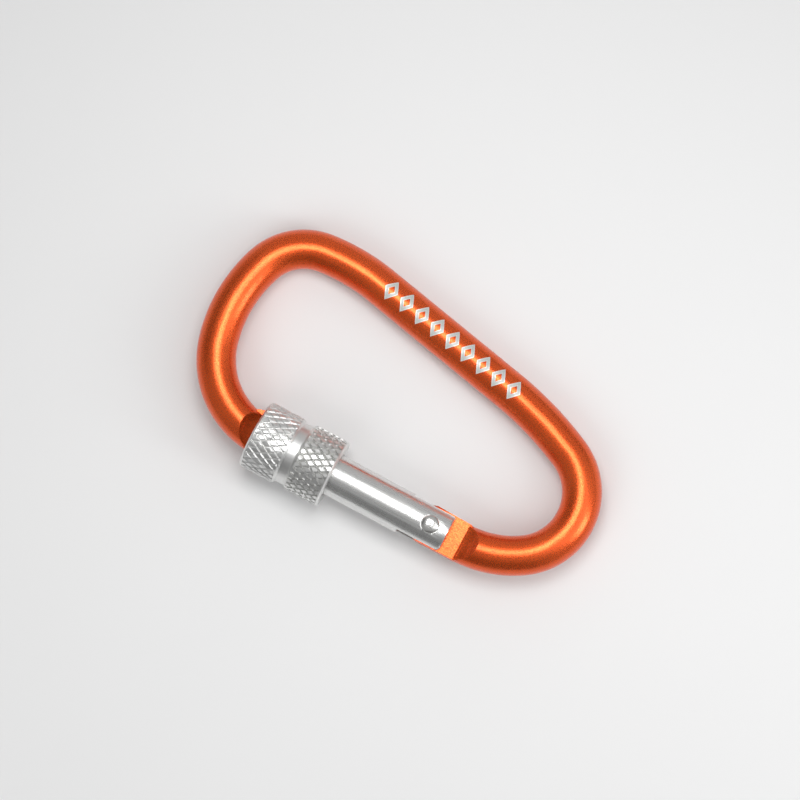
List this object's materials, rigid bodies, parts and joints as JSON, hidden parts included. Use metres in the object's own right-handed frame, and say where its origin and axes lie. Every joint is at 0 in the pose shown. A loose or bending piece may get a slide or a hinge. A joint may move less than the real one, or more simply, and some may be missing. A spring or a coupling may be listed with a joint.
{
  "type": "carabiner keyring",
  "caption": "Pear-shaped locking carabiner for keys: a bent round bar, a sprung tube gate on a rivet and a knurled sleeve that locks the gate over the nose.",
  "frame": {"origin": "middle of the bounding box's underside; the gate's axis is 6.45 mm above it", "axes": "+X along the closed gate from nose to hinge, +Y across the loop from gate to spine, +Z out of the loop's plane"},
  "size_m": [0.0804, 0.0452, 0.0129],
  "materials": {
    "bar_anodised": "orange anodised, satin to bright, with fine drawing pits and a pale engraved row of diamonds on the spine",
    "gate_aluminium": "turned and polished, faint lengthwise streaks",
    "rivet_steel": "bright, formed head with a dimple",
    "pin_steel": "ground",
    "plunger_steel": "turned",
    "spring_steel": "drawn wire",
    "sleeve_aluminium": "bright, diamond knurled in two bands"
  },
  "bodies": {
    "bar": {"spine_bar": "bar_anodised"},
    "gate": {"gate_tube": "gate_aluminium", "hinge_rivet": "rivet_steel", "latch_pin": "pin_steel", "gate_spring": "spring_steel"},
    "plunger": {"gate_plunger": "plunger_steel"},
    "sleeve": {"locking_sleeve": "sleeve_aluminium"}
  },
  "joints": [
    {"name": "gate_swing", "type": "hinge", "parent": "bar", "child": "gate", "pos_m": [0.01409, -0.01618, 0.00645], "axis": [0, 0, -1], "range_deg": [0, 24], "stiffness_Nm_per_rad": 0.03, "springref_deg": -28.65},
    {"name": "sleeve_travel", "type": "slide", "parent": "gate", "child": "sleeve", "axis": [1, 0, 0], "range_m": [0, 0.0175]},
    {"name": "plunger_slide", "type": "slide", "parent": "gate", "child": "plunger", "axis": [-1, 0, 0], "range_m": [0, 0.0008], "deforming": ["gate_spring"]}
  ],
  "couplings": [
    {"joint": "sleeve_travel", "follows": "gate_swing", "m_per_rad": 0.041777},
    {"joint": "plunger_slide", "follows": "gate_swing", "m_per_rad": 0.001909}
  ]
}
